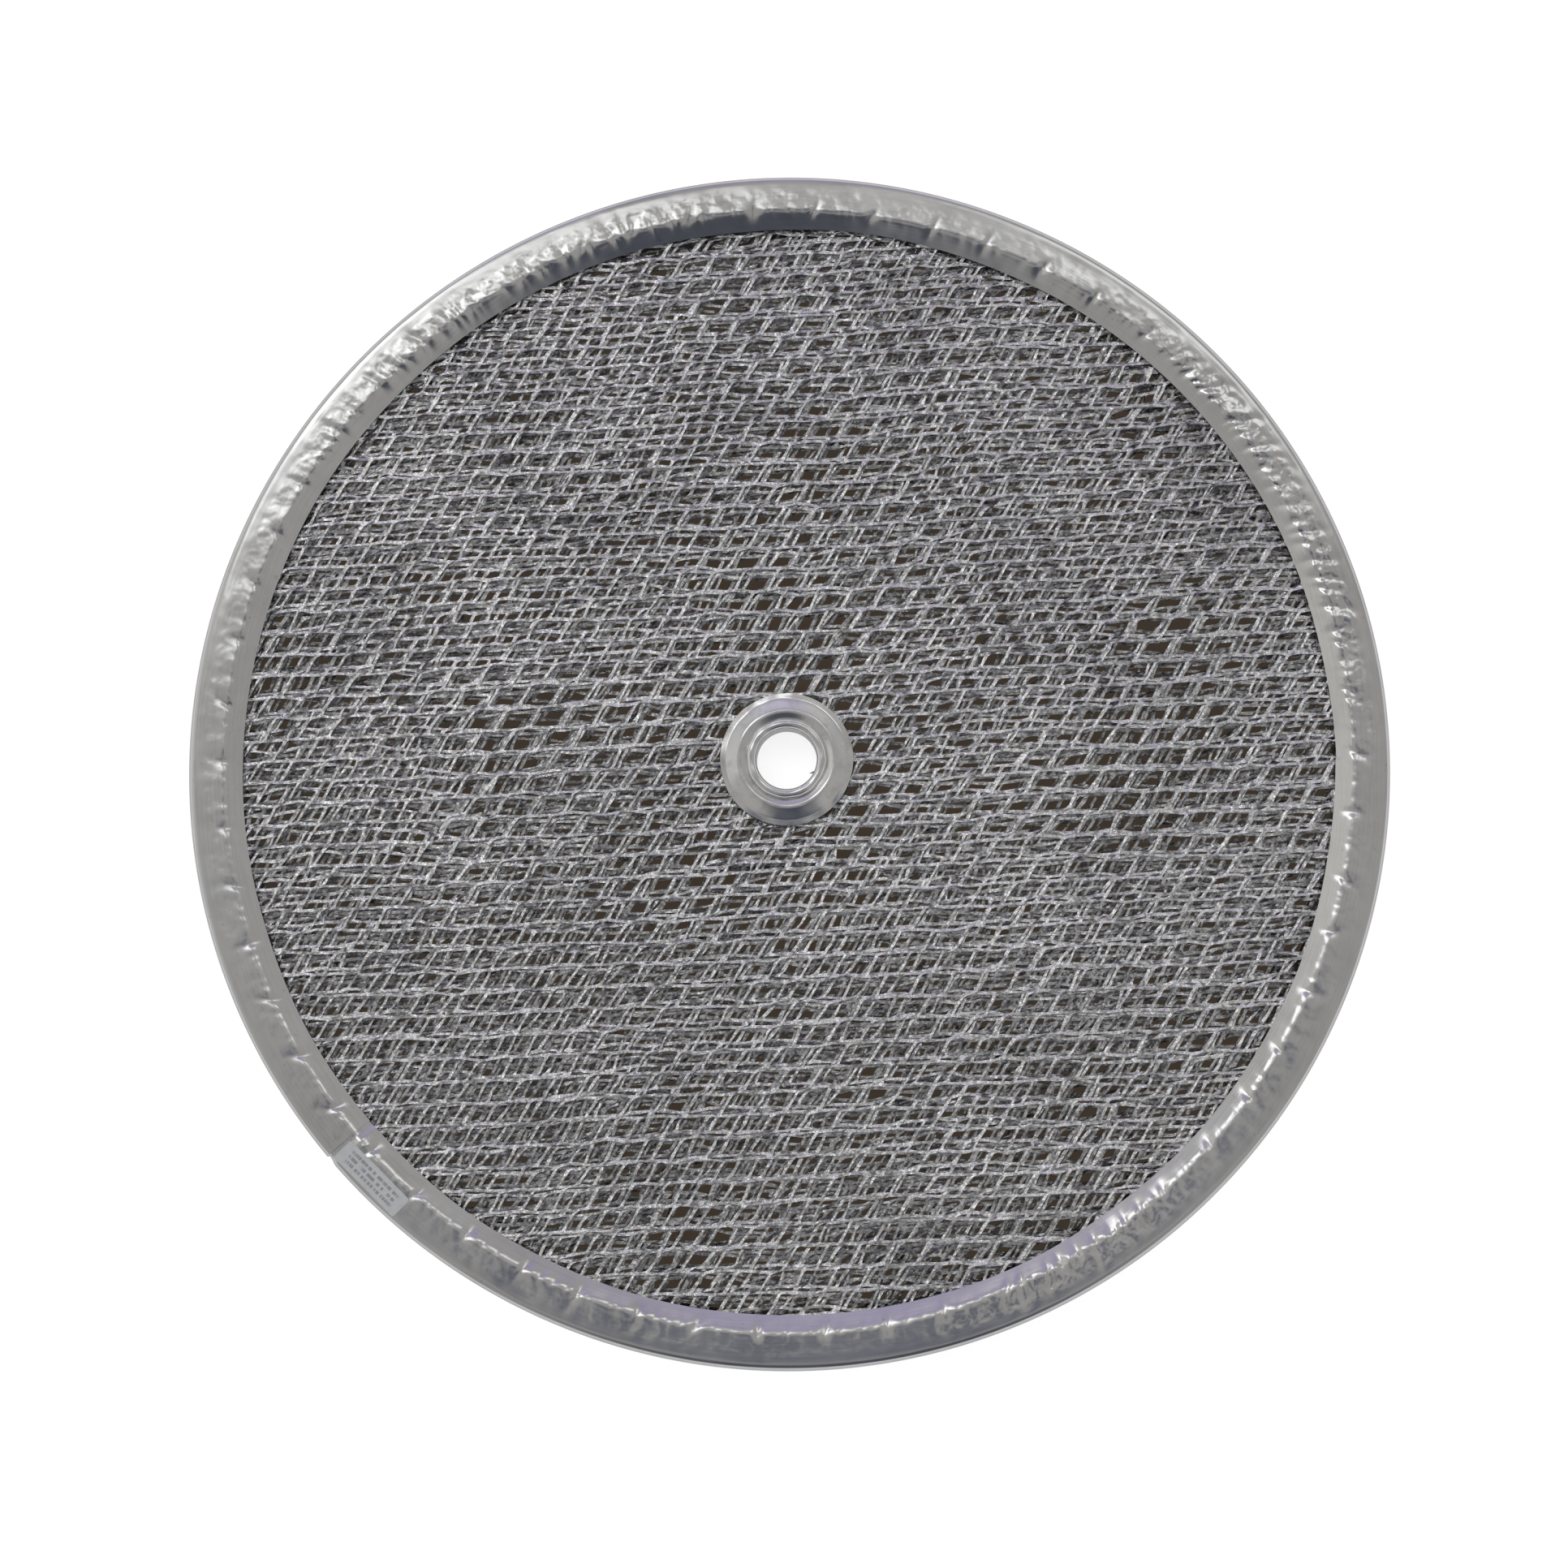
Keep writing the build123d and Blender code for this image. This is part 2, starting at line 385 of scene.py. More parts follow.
def foil_layer(name, z_mid, lwd, swd, angle, shift, lift, seed,
               knuckle, warp, stray, rough):
    """One disc of slit and expanded foil as a closed mesh.

    lwd and swd are the long and short pitch of the openings and knuckle the
    width of the bonds. Each opening's far side rises and its near side dips,
    or the reverse, so that strands and bonds lean as in real expanded metal.
    The strands of one direction run straight on through the bonds, and those
    of the other step across between them.
    warp bends the whole lattice, stray moves it cell by cell and rough lifts
    single strands."""
    rng = np.random.default_rng(seed)
    ring = opening_ring(lwd, swd, knuckle)
    reach_i = int(2 * (LAYER_R + lwd) / lwd) + 2
    reach_j = int(2 * (LAYER_R + swd) / swd) + 2
    cells, centres = {}, []  # cells holds the first vertex of each ring
    for i in range(-reach_i, reach_i + 1):
        for j in range(-reach_j, reach_j + 1):
            if (i + j) % 2:
                continue
            u, v = i * lwd / 2 + shift[0], j * swd / 2 + shift[1]
            r = math.hypot(u, v)
            if r > LAYER_R - 1.5 or r < LAYER_BORE + 2.0:
                continue
            cells[(i, j)] = len(centres) * HOLE_RING
            centres.append((u, v))
    centres = np.array(centres)

    u = centres[:, None, 0] + ring[None, :, 0]
    v = centres[:, None, 1] + ring[None, :, 1]
    u = u + rng.normal(0, 0.02 + 0.15 * stray, u.shape)
    v = v + rng.normal(0, 0.02 + 0.15 * stray, v.shape)
    z = opening_dip(lift)[None, :] + rng.normal(0, rough, u.shape)
    cos, sin = math.cos(math.radians(angle)), math.sin(math.radians(angle))
    x, y = u * cos - v * sin, u * sin + v * cos

    warp_x, warp_y = Waves(seed + 1, 45, 150), Waves(seed + 2, 45, 150)
    stray_x, stray_y = Waves(seed + 3, 7, 22), Waves(seed + 4, 7, 22)
    ripple = Waves(seed + 5, 9, 30)
    # the wave shared by the whole pack dies away towards the rim
    hold = 1 - smoothstep((np.hypot(x, y) - 112) / 10)
    z = z + 0.05 * ripple(x, y) + hold * (0.10 * pack_noise(x, y))
    dx = warp * warp_x(x, y) + stray * stray_x(x, y)
    dy = warp * warp_y(x, y) + stray * stray_y(x, y)
    x, y = x + dx, y + dy
    r = np.hypot(x, y)
    pull_in = np.where(r > LAYER_R, LAYER_R / r, 1.0)
    x, y = x * pull_in, y * pull_in

    upper = np.stack([x, y, z + z_mid + FOIL_THICK / 2], -1).reshape(-1, 3)
    verts = np.concatenate([upper, upper - [0, 0, FOIL_THICK]])
    faces = thicken(*foil_faces(cells), len(upper))
    used = np.zeros(len(verts), bool)
    used[[p for face in faces for p in face]] = True
    renumber = np.cumsum(used) - 1
    obj = make_mesh(name, verts[used],
                    [[renumber[p] for p in face] for face in faces],
                    smooth_angle=50)
    planar_uv(obj, (LAYER_R + 3) * MM)
    return obj


def foil_material(name, tone, tint, gloss_mid, speck, dent):
    """Slit foil: uneven mill finish, dull specks and small crumples. The specks
    also stand in for dark reflections along twisted strands, as painted shade.
    speck is the tone of the specks and dent the strength of the crumples."""
    material, nt, bsdf = new_material(name)
    pos = position(nt)
    broad = noise(nt, pos, scale=28.0, detail=3.0)
    fine = noise(nt, pos, scale=760.0, detail=2.0)
    crumple = noise(nt, pos, scale=900.0, detail=2.0)
    # tone is the metal's colour, lowered as painted shade for the middle layers of the
    # stack
    dull = [tone * 0.86 * t for t in tint]
    bright = [min(1.0, tone * 1.10 * t) for t in tint]
    finish = ramp(nt, broad, (0.32, dull), (0.68, bright))
    # specks: dull spots in the finish, and painted shade for dark reflections along the
    # strands
    specks = ramp(nt, fine, (0.36, grey(speck)), (0.54, grey(1)))
    plug(nt, bsdf, {
        "Base Color": multiply(nt, finish, specks),
        "Metallic": 1.0,
        "Roughness": to_range(nt, fine, low=gloss_mid + 0.10,
                              high=gloss_mid - 0.06),
        "Normal": bump(nt, crumple, strength=dent, distance=0.0005)})
    return material


# What the front screen, the media between and the rear screen are like:
# how uneven the lattice is, then the look of the foil.
FOIL_KINDS = {
    "front": (dict(knuckle=0.60, warp=0.35, stray=0.26, rough=0.070),
              dict(tint=(0.99, 0.99, 1.0), gloss_mid=0.29, speck=0.50, dent=0.80)),
    "inner": (dict(knuckle=0.64, warp=1.5, stray=0.36, rough=0.085),
              dict(tint=(0.985, 0.985, 1.0), gloss_mid=0.29, speck=0.42,
                   dent=0.85)),
    "rear": (dict(knuckle=0.62, warp=0.35, stray=0.20, rough=0.045),
             dict(tint=(0.99, 0.99, 1.0), gloss_mid=0.32, speck=0.50, dent=0.60)),
}

LAYERS = [
    # CAD piece, foil kind and number, long pitch, short pitch, angle, shift,
    # lift of the opening sides, tone of the metal. The tone holds painted shade:
    # the middle layers of the stack are darker, where the layers above shade them.
    ("front_screen", "front", 13.76, 5.17, 22.8, (2.9, 1.1), 0.105, 0.93),
    ("media_layer_7", "inner_7", 13.62, 5.22, 23.2, (4.1, 1.8), 0.12, 0.97),
    ("media_layer_6", "inner_6", 13.90, 5.12, 22.4, (1.7, 0.5), -0.12, 0.95),
    ("media_layer_5", "inner_5", 13.68, 5.25, 23.5, (4.3, 0.45), -0.12, 0.86),
    ("media_layer_4", "inner_4", 13.86, 5.10, 22.5, (1.7, 1.8), 0.12, 0.70),
    ("media_layer_3", "inner_3", 13.58, 5.18, 22.1, (4.4, 1.3), -0.12, 0.64),
    ("media_layer_2", "inner_2", 13.94, 5.22, 23.1, (2.7, 0.2), 0.12, 0.68),
    ("media_layer_1", "inner_1", 13.72, 5.13, 23.6, (1.5, 1.6), -0.12, 0.78),
    ("rear_screen", "rear", 13.76, 5.17, 22.8, (3.2, 1.3), -0.09, 0.84),
]
for k, (target, foil, lwd, swd, angle, shift, lift, tone) in enumerate(LAYERS):
    lattice, look = FOIL_KINDS[foil.split("_")[0]]
    layer_lo, layer_hi = box_mm(target)
    install(foil_layer(target + "_foil", (layer_lo[2] + layer_hi[2]) / 2, lwd, swd,
                       angle, shift, lift, seed=900 + 31 * k, **lattice),
            foil_material("foil_" + foil, tone, **look), target)


# ---------------------------------------------------------------------- rim
SPLICE_START = 221.0  # the strip starts here and runs clockwise seen from +Z
SPLICE_LAP = 5.0
COVERED_EDGE = 123.0  # free-edge radius of the strip end under the splice
PINCH_COUNT = 58      # regular pinches round each lip


def puckers(seed, first, busy):
    """Places along the crease, depths, reaches, widths and slants of the
    pinches round one lip: one at every bite of the rolling tool, and loose
    ones in between, which are deeper and longer along the busy stretches
    (centre, half width)."""
    rng = np.random.default_rng(seed)

    def crowd(turn):
        near = [1 - abs((turn - middle + 180) % 360 - 180) / half
                for middle, half in busy]
        return float(smoothstep(max(near) * 1.6))

    marks = []
    for k in range(PINCH_COUNT):
        turn = first + k * 360 / PINCH_COUNT + rng.normal(0, 0.3)
        marks.append((math.radians(turn) * RIM_CREASE, rng.uniform(0.75, 1.15),
                      rng.uniform(1.6, 3.0), rng.uniform(0.55, 0.95),
                      rng.uniform(-0.6, 0.1)))
    place = 0.0
    while True:
        place += 1.0 + rng.gamma(2.0, 1.25)
        if place > CREASE_LENGTH - 1.0:
            return marks
        crowded = crowd(math.degrees(place / RIM_CREASE))
        if place < CREASE_LENGTH * 0.18:
            lean = -0.5
        elif place < CREASE_LENGTH * 0.45:
            lean = 0.35
        else:
            lean = -0.2
        marks.append((place, (0.30 + 0.75 * crowded) * rng.uniform(0.3, 1.0),
                      rng.uniform(0.9, 1.8 + 4.2 * crowded),
                      rng.uniform(0.32, 0.7), lean + rng.uniform(-0.3, 0.3)))


def pinch_field(arc, outward, marks):
    """Depth of the pinches at arc length arc and a distance outward from the
    crease, which is negative on the slope."""
    field = np.zeros(np.broadcast(arc, outward).shape)
    for place, depth, reach, width, slant in marks:
        aside = ((arc - place - slant * outward + CREASE_LENGTH / 2)
                 % CREASE_LENGTH - CREASE_LENGTH / 2)
        fall = np.where(outward >= 0, np.exp(-(outward / reach) ** 2),
                        np.exp(-(outward / 1.9) ** 2))
        wide = width * (1 + 0.25 * np.abs(outward))
        field = np.maximum(
            field, depth * fall * np.exp(-(np.abs(aside) / wide) ** 1.35))
    return field


front_marks = puckers(71, 0.5, [(27, 26), (124, 34), (300, 14)])
rear_marks = puckers(72, 3.0, [(60, 30), (210, 40)])
lip_wave = Waves(73, 14, 60, 8)
edge_wave = Waves(74, 22, 90, 8)
lip_fold = Waves(75, 3.5, 9, 12)


def rim_skin(section, turn, arc):
    """Radius and height of one side of the strip, pinched and slightly
    uneven, at every sample of the section and every column."""
    r, z, normal_r, normal_z = (values[:, None] for values in section[:4])
    front = z > (rim_hi[2] + rim_lo[2]) / 2
    up = np.where(front, 1.0, -1.0)
    outward = r - RIM_CREASE
    outward = np.where(outward < 0, outward / math.cos(RIM_SLOPE), outward)
    pinch = np.where(front, pinch_field(arc, outward, front_marks),
                     pinch_field(arc, outward, rear_marks))
    near = np.exp(-(outward / 1.3) ** 2)
    lip = smoothstep((RIM_R - 1.2 - r) / 2.0)
    dz = -up * 0.36 * pinch * lip
    dr = 0.50 * pinch * near
    # between pinches the crease bulges a little
    dz = dz + up * 0.05 * near * (1 - np.minimum(pinch * 2.5, 1))
    # the lip is not quite flat and the free edge not quite round;
    # the rear side samples the waves elsewhere
    elsewhere = np.where(front, 0, 500)
    wave = lip_wave(arc, outward * 2.2 + elsewhere)
    fold = lip_fold(arc, outward * 0.8 + elsewhere)
    dz = dz + up * (0.045 * wave + 0.022 * fold) * lip * smoothstep(
        (outward + 6) / 3)
    free = smoothstep(-outward / 4.4)
    wobble = edge_wave(arc, np.where(front, 0.0, 300.0))
    dr = dr + 0.16 * wobble * free
    dz = dz - up * 0.10 * wobble * free
    # the far end of the strip steps down and runs under the near end
    step = 0.45 * smoothstep((turn - 358.75) / 1.0)
    # and it is trimmed short of the media where it is covered
    trim = smoothstep((turn - 360.1) / 0.6)
    short = np.maximum(COVERED_EDGE - r, 0) * trim
    return (r + dr - normal_r * step + short,
            z + dz - normal_z * step + up * short * math.tan(RIM_SLOPE))


def end_cap(outer, inner, flip):
    """Triangles that close one end of the strip between its two skins."""
    tris = []
    last_o, last_i = len(outer) - 1, len(inner) - 1
    i = j = 0
    while i < last_o or j < last_i:
        if j >= last_i or (i < last_o and (i + 1) / last_o <= (j + 1) / last_i):
            tri = (outer[i], inner[j], outer[i + 1])
            i += 1
        else:
            tri = (outer[i], inner[j], inner[j + 1])
            j += 1
        tris.append(tri[::-1] if flip else tri)
    return tris


def build_rim():
    z_lip, z_low = rim_hi[2], rim_lo[2]
    line = [(RIM_INNER, z_lip - RIM_DROP), (RIM_CREASE, z_lip), (RIM_R, z_lip),
            (RIM_R, z_low), (RIM_CREASE, z_low), (RIM_INNER, z_low + RIM_DROP)]
    bends = [3.4, RIM_SHOULDER, RIM_SHOULDER, 3.4]
    sections = [outline(line, bends, [3, 8, 9, 5, 3, 5, 6, 4, 2]),
                outline(line, bends, [2, 2, 2, 3, 1, 3, 2, 2, 2], RIM_THICK)]
    # even columns, with finer ones across the splice
    turn = np.unique(np.concatenate([np.linspace(0, 360 + SPLICE_LAP, 1450),
                                     np.linspace(358.2, 360.6, 26)]))
    theta = np.radians(SPLICE_START - turn)
    arc = (theta * RIM_CREASE) % CREASE_LENGTH
    verts = []
    for section in sections:
        r, z = rim_skin(section, turn, arc)
        verts.append(np.stack([r * np.cos(theta), r * np.sin(theta), z],
                              -1).reshape(-1, 3))

    columns = len(turn)
    k = np.arange(columns - 1)
    outer, inner = (np.arange(len(section[0])) * columns for section in sections)
    inner = inner + len(verts[0])

    def band(first, second, flip):
        a, b = first + k, second + k
        return np.stack([a, a + 1, b + 1, b] if flip else [a, b, b + 1, a + 1], -1)

    bands = [band(a, b, False) for a, b in zip(outer, outer[1:])]
    bands += [band(a, b, True) for a, b in zip(inner, inner[1:])]
    bands += [band(outer[0], inner[0], True), band(outer[-1], inner[-1], False)]
    faces = np.concatenate(bands).tolist()
    for column, flip in ((0, False), (columns - 1, True)):
        faces += end_cap(outer + column, inner + column, flip)
    return make_mesh("rim_strip", np.concatenate(verts), faces, smooth_angle=38)


# busy stretches of the front crease: angle, half width, strength of crumpling
BUSY_CREASE = [(27, 30, 0.9), (124, 38, 0.55), (300, 18, 0.8)]


def strip_material():
    """Mill-finish aluminium strip: fine rolling lines that run round the rim,
    faint smudges, specks, and small crumples along the crease."""
    material, nt, bsdf = new_material("rim_aluminium")
    pos = position(nt)
    parts, flat, radius = split_plan(nt, pos)
    # squeezing the angle draws the noise out into lines round the rim
    turn = calc(nt, "ARCTAN2", parts[1], parts[0])
    polar = node(nt, "CombineXYZ", {0: radius, 1: calc(nt, "MULTIPLY", turn, 0.004),
                                    2: parts[2]}).outputs[0]
    lines = noise(nt, polar, scale=2600.0, detail=3.0, rough=0.6)
    smudge = noise(nt, pos, scale=34.0, detail=5.0, rough=0.6)
    specks = noise(nt, pos, scale=700.0, detail=4.0, rough=0.6)
    colour = multiply(
        nt,
        ramp(nt, smudge, (0.30, (0.74, 0.74, 0.735)), (0.52, (0.84, 0.84, 0.835)),
             (0.72, (0.79, 0.79, 0.80))),
        ramp(nt, lines, (0.28, grey(0.93)), (0.60, grey(1))),
        ramp(nt, specks, (0.24, (0.80, 0.79, 0.78)), (0.36, grey(1))))

    # crumples: a band just outside the crease, stronger where it is busy
    gap = calc(nt, "ABSOLUTE", calc(nt, "SUBTRACT", radius, 0.1271))
    band = smooth_range(nt, gap, low=1.0, high=0.0, from_min=0.0016,
                        from_max=0.0036)
    unit = node(nt, "VectorMath", {0: flat}, operation="NORMALIZE").outputs[0]
    busy = None
    for angle, half, strength in BUSY_CREASE:
        middle = math.radians(angle)
        dot = vector_calc(nt, "DOT_PRODUCT", unit,
                          (math.cos(middle), math.sin(middle), 0))
        here = smooth_range(nt, dot, low=0.22, high=strength,
                            from_min=math.cos(math.radians(half)), from_max=1.0)
        busy = here if busy is None else calc(nt, "MAXIMUM", busy, here)
    crumple = noise(nt, pos, scale=300.0, detail=1.5, rough=0.5)
    height = calc(nt, "MULTIPLY", calc(nt, "SUBTRACT", crumple, 0.5),
                  calc(nt, "MULTIPLY", busy, band))
    dents = bump(nt, height, strength=1.0, distance=0.0008)
    plug(nt, bsdf, {
        "Base Color": colour,
        "Metallic": 1.0,
        "Roughness": to_range(nt, smudge, low=0.17, high=0.27),
        "Normal": bump(nt, lines, strength=0.10, distance=0.0001, Normal=dents)})
    return material


install(build_rim(), strip_material(), "rim_channel")


# ------------------------------------------------------------------ grommet
def spun(name, line, bends, steps, back_steps, thick, wobble, columns=224):
    """A pressed sheet ring with a closed section and small forming marks.
    back_steps are the sample counts on the side that lies thick behind."""
    theta = np.linspace(0, TAU, columns, endpoint=False)
    rows = []
    for section, way in ((outline(line, bends, steps), 1),
                         (outline(line, bends, back_steps, thick), -1)):
        r, z, _, _, along = (values[::way, None] for values in section)
        dr, dz = wobble(r, along / along.max(), theta)
        r, z = r + dr, z + dz
        rows.append(np.stack([r * np.cos(theta), r * np.sin(theta), z], -1))
    verts = np.concatenate(rows)
    k = np.arange(columns)
    k_next = (k + 1) % columns
    bands = []
    for i in range(len(verts)):
        a, b = i * columns, ((i + 1) % len(verts)) * columns
        bands.append(np.stack([a + k, a + k_next, b + k_next, b + k], -1))
    return make_mesh(name, verts.reshape(-1, 3), np.concatenate(bands),
                     smooth_angle=42)


roll_marks = Waves(81, 3.0, 9.0, 8)
bead_marks = Waves(82, 4.0, 12.0, 8)


def barrel_wobble(r, along, theta):
    """Ripples on the rolled upper lip and faint waves on the lower flange."""
    lip = smoothstep((along - 0.72) / 0.2)
    marks = roll_marks(r * np.cos(theta), r * np.sin(theta))
    ripple = np.sin(11 * theta + 0.7) * 0.35 + np.sin(7 * theta + 2.1) * 0.4
    edge = smoothstep((r - 8.0) / 0.9) * lip
    flange = smoothstep((r - 11) / 4) * (1 - lip)
    dz = (0.030 * marks + 0.045 * ripple) * lip - 0.03 * marks * flange
    return (0.05 * marks + 0.07 * ripple) * edge, dz


def washer_wobble(r, along, theta):
    """Faint waves all over, stronger at the outer edge."""
    marks = bead_marks(r * np.cos(theta), r * np.sin(theta))
    edge = smoothstep((r - 12.8) / 1.8)
    dz = 0.022 * marks + 0.05 * marks * edge
    return 0.035 * np.sin(5 * theta + 1.0) * edge + 0.02 * marks, dz


def build_barrel():
    """Tube with a wide flange at its foot and a rolled lip at its top."""
    lo, hi = box_mm("grommet_barrel")
    bore, lip_r = 6.7, 8.9
    line = [(hi[0], lo[2] + 1.25), (12.6, lo[2]), (bore, lo[2]),
            (bore, hi[2]), (lip_r, hi[2]), (lip_r, hi[2] - 1.03)]
    return spun("grommet_barrel_spun", line, bends=[2.5, 2.2, 1.1, 0.95],
                steps=[3, 8, 6, 9, 4, 8, 2, 7, 1],
                back_steps=[2, 5, 4, 6, 3, 5, 1, 4, 1],
                thick=0.5, wobble=barrel_wobble)


def build_washer():
    """Dished ring with a raised bead, on the front side."""
    outer_r = box_mm("grommet_washer")[1][0]
    seat_z, bead_z = 8.25, 8.90
    line = [(7.35, seat_z), (8.95, seat_z), (10.35, bead_z), (11.05, bead_z),
            (13.55, 7.44), (outer_r, 7.35)]
    return spun("grommet_washer_spun", line, bends=[1.2, 0.9, 0.9, 1.2],
                steps=[4, 4, 4, 6, 2, 6, 4, 4, 4],
                back_steps=[3, 3, 3, 4, 1, 4, 3, 3, 3],
                thick=0.4, wobble=washer_wobble)


def grommet_material():
    """Bright aluminium with scuffs drawn out along Z."""
    material, nt, bsdf = new_material("grommet_aluminium")
    pos = position(nt)
    drawn = node(nt, "Mapping", {"Scale": (1.0, 1.0, 0.35), "Vector": pos})
    scuff = noise(nt, drawn.outputs[0], scale=320.0, detail=5.0, rough=0.62)
    broad = noise(nt, pos, scale=95.0, detail=3.0)
    metal = ramp(nt, broad, (0.35, (0.88, 0.88, 0.89)), (0.66, (0.96, 0.96, 0.95)))
    worn = ramp(nt, scuff, (0.30, (0.80, 0.79, 0.78)), (0.50, grey(1)))
    plug(nt, bsdf, {
        "Base Color": multiply(nt, metal, worn),
        "Metallic": 1.0,
        "Roughness": to_range(nt, scuff, low=0.26, high=0.15),
        "Normal": bump(nt, scuff, strength=0.12, distance=0.0001)})
    return material


barrel = build_barrel()
washer = build_washer()
grommet_metal = grommet_material()
install(barrel, grommet_metal, "grommet_barrel")
install(washer, grommet_metal, "grommet_washer")


# -------------------------------------------------------------------- label
def build_label():
    """A thin stuck-on label that follows the lip and its rounded shoulder."""
    top_z = box_mm("label")[1][2]
    turn = math.radians(LABEL_TURN)
    half_length, half_width, corner, thick = 9.2, 2.6, 0.4, 0.10
    count_u, count_v = 48, 14
    # u runs along the label, v outward across it
    u, v = np.meshgrid(np.linspace(-1, 1, count_u) * half_length,
                       np.linspace(-1, 1, count_v) * half_width, indexing="ij")
    # rounded corners
    cut = np.maximum(np.abs(u) - (half_length - corner), 0)
    room = half_width - corner + np.sqrt(np.maximum(corner ** 2 - cut ** 2, 0))
    r = LABEL_MID + v * room / half_width
    x = r * math.cos(turn) - u * math.sin(turn)
    y = r * math.sin(turn) + u * math.cos(turn)
    over = np.maximum(np.hypot(x, y) - (RIM_R - RIM_SHOULDER), 0)
    drop = RIM_SHOULDER - np.sqrt(np.maximum(RIM_SHOULDER ** 2 - over ** 2, 0.0))
    crinkle = Waves(91, 3, 11, 7)
    z = top_z - drop + 0.018 * crinkle(x, y)
    verts = np.concatenate([np.stack([x, y, z], -1).reshape(-1, 3),
                            np.stack([x, y, z - thick], -1).reshape(-1, 3)])
    quads = []
    for i in range(count_u - 1):
        for j in range(count_v - 1):
            a = i * count_v + j
            quads.append((a, a + count_v, a + count_v + 1, a + 1))
    return make_mesh("label_sticker", verts, thicken(quads, [], count_u * count_v),
                     smooth_angle=35)


def label_print(nt, pos):
    """How much ink there is: rows of unreadable dashes, worked in mm."""
    row_pitch = 1.25
    turn = math.radians(LABEL_TURN)
    along = vector_calc(nt, "DOT_PRODUCT", pos,
                        (-math.sin(turn) / MM, math.cos(turn) / MM, 0))
    across = vector_calc(nt, "DOT_PRODUCT", pos,
                         (math.cos(turn) / MM, math.sin(turn) / MM, 0))
    row = calc(nt, "MULTIPLY_ADD", across, 1 / row_pitch,
               -LABEL_MID / row_pitch + 10.5)
    # every row reads the noise far from its neighbours
    spread = calc(nt, "MULTIPLY", calc(nt, "FLOOR", row), 7.7)
    spot = node(nt, "CombineXYZ", {0: along, 1: spread}).outputs[0]
    dashes = noise(nt, spot, scale=1.5, detail=1.0)
    ink = to_range(nt, dashes, low=0.0, high=1.0, from_min=0.42, from_max=0.52)
    # ink only near the middle of a row, between its ends, and on inner rows
    from_row = calc(nt, "SUBTRACT", calc(nt, "FRACT", row), 0.5)
    from_middle = calc(nt, "SUBTRACT", across, LABEL_MID)
    for offset, full, none in ((from_row, 0.20, 0.36), (along, 6.6, 7.4),
                               (from_middle, 1.8, 2.0)):
        keep = to_range(nt, calc(nt, "ABSOLUTE", offset), low=1.0, high=0.0,
                        from_min=full, from_max=none)
        ink = calc(nt, "MULTIPLY", ink, keep)
    return ink


def label_material():
    """Faintly stained paper with fibres and grey print."""
    material, nt, bsdf = new_material("label_paper")
    pos = position(nt)
    fibre = noise(nt, pos, scale=900.0, detail=6.0, rough=0.65)
    stain = noise(nt, pos, scale=150.0, detail=3.0)
    colour = multiply(
        nt,
        ramp(nt, stain, (0.35, (0.92, 0.95, 0.96)), (0.65, (0.97, 0.99, 1.0))),
        ramp(nt, fibre, (0.30, (0.90, 0.91, 0.92)), (0.60, grey(1))),
        ramp(nt, label_print(nt, pos), (0.0, grey(1)), (1.0, (0.52, 0.54, 0.57))))
    plug(nt, bsdf, {
        "Base Color": colour,
        "Roughness": to_range(nt, fibre, low=0.62, high=0.50),
        "Normal": bump(nt, fibre, strength=0.25, distance=0.00005)})
    return material


install(build_label(), label_material(), "label")


# -------------------------------------------------------------------- floor
def floor_material():
    """Glowing pale floor, with a painted shadow under the pad: a dark ring that glows only
    faintly, as painted bounce light. Clear from below.
    """
    material, nt, bsdf = new_material("floor_pale")
    out = next(n for n in nt.nodes if n.type == "OUTPUT_MATERIAL")
    geometry = node(nt, "NewGeometry").outputs
    radius = split_plan(nt, geometry["Position"])[2]
    # painted shadow: the ring of floor under the pad, outside the bore
    under = calc(nt, "MULTIPLY", calc(nt, "LESS_THAN", radius, 0.1325),
                 calc(nt, "GREATER_THAN", radius, LAYER_BORE * MM))
    # the floor glows less in reflections, so that polished walls read as grey
    glossy = node(nt, "LightPath").outputs["Is Glossy Ray"]
    plug(nt, bsdf, {
        "Roughness": 0.9,
        "Specular IOR Level": 0.1,
        # painted shadow under the pad: dark colour and a faint painted glow of bounce
        # light
        "Base Color": mix_colour(nt, under, grey(0.86), (0.16, 0.13, 0.11)),
        "Emission Color": mix_colour(nt, under, grey(0.74), (0.038, 0.029, 0.020)),
        "Emission Strength": to_range(nt, glossy, low=1.0, high=0.22)})
    clear = node(nt, "BsdfTransparent")
    mix = node(nt, "MixShader", {0: geometry["Backfacing"], 1: bsdf.outputs[0],
                                 2: clear.outputs[0]})
    nt.links.new(mix.outputs[0], out.inputs[0])
    return material


def build_floor():
    half = 6.0
    z = float(cad_lo[2]) - 0.0002
    mesh = bpy.data.meshes.new("floor")
    mesh.from_pydata([(-half, -half, z), (half, -half, z), (half, half, z),
                      (-half, half, z)], [], [(0, 1, 2, 3)])
    obj = bpy.data.objects.new("floor", mesh)
    bpy.context.scene.collection.objects.link(obj)
    mesh.materials.append(floor_material())


# ---------------------------------------------------------- world and lights
STUDIO = [
    # patches of the world: azimuth, zenith angle, full and outer half angle,
    # colour
    (171, 52, 6, 26, (0.52, 0.51, 0.49)),         # bright, towards -X
    (98, 59, 10, 28, (0.335, 0.30, 0.43)),        # cool, towards +Y
    (275, 46, 12, 31, (0.055, 0.060, 0.080)),     # dark, towards -Y
    (270, 6.5, 3, 10.5, (0.07, 0.078, 0.125)),    # dark, almost overhead
]
LIGHT_DISTANCE = 1.5
LIGHT_COLOUR = (0.985, 0.99, 1.0)


def direction(azimuth, zenith):
    a, z = math.radians(azimuth), math.radians(zenith)
    return Vector((math.cos(a) * math.sin(z), math.sin(a) * math.sin(z),
                   math.cos(z)))


